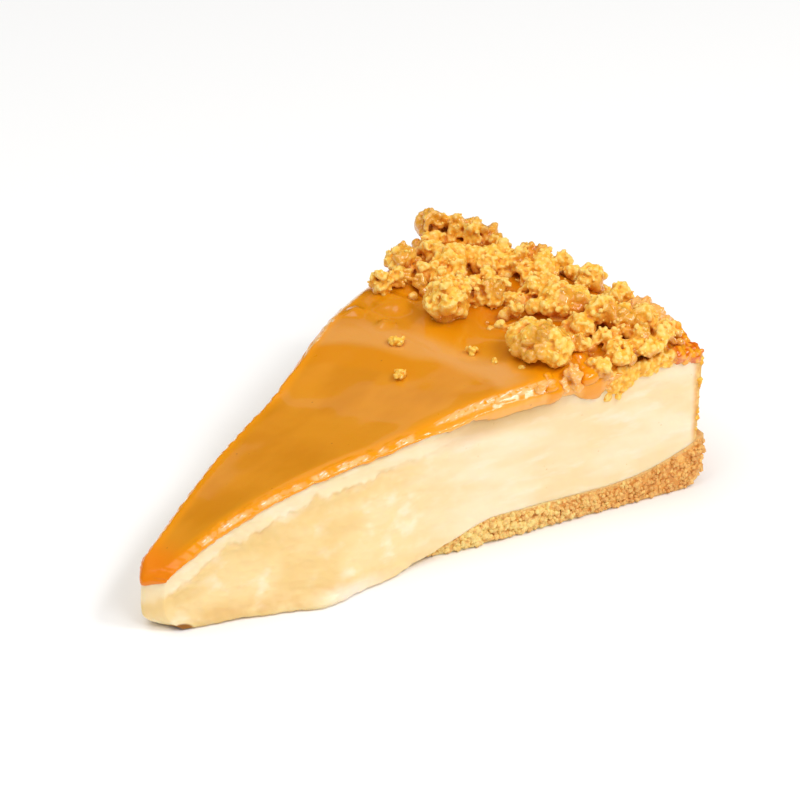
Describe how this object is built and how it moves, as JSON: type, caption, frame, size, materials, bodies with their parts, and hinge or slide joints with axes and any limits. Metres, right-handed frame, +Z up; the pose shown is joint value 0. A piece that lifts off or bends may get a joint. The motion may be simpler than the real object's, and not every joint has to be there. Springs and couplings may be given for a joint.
{
  "type": "slice of baked cheesecake",
  "caption": "Wedge of baked cheesecake on a biscuit crumb base, with a caramel glaze that runs over the cut and a heap of streusel crumbs at the wide end.",
  "frame": {"origin": "on the table, under the middle of the slice's bounding box", "axes": "+X runs along the slice from its tip to its wide end, +Y from the cut face that the picture shows to the hidden one, +Z up"},
  "size_m": [0.1229, 0.0735, 0.0419],
  "materials": {
    "biscuit": "coarse matte crumb",
    "filling": "smooth satin",
    "caramel": "wet gloss",
    "streusel": "coarse matte crumb"
  },
  "bodies": {
    "root": {"biscuit_base": "biscuit", "baked_filling": "filling", "caramel_glaze": "caramel", "streusel_heap": "streusel"}
  },
  "joints": []
}
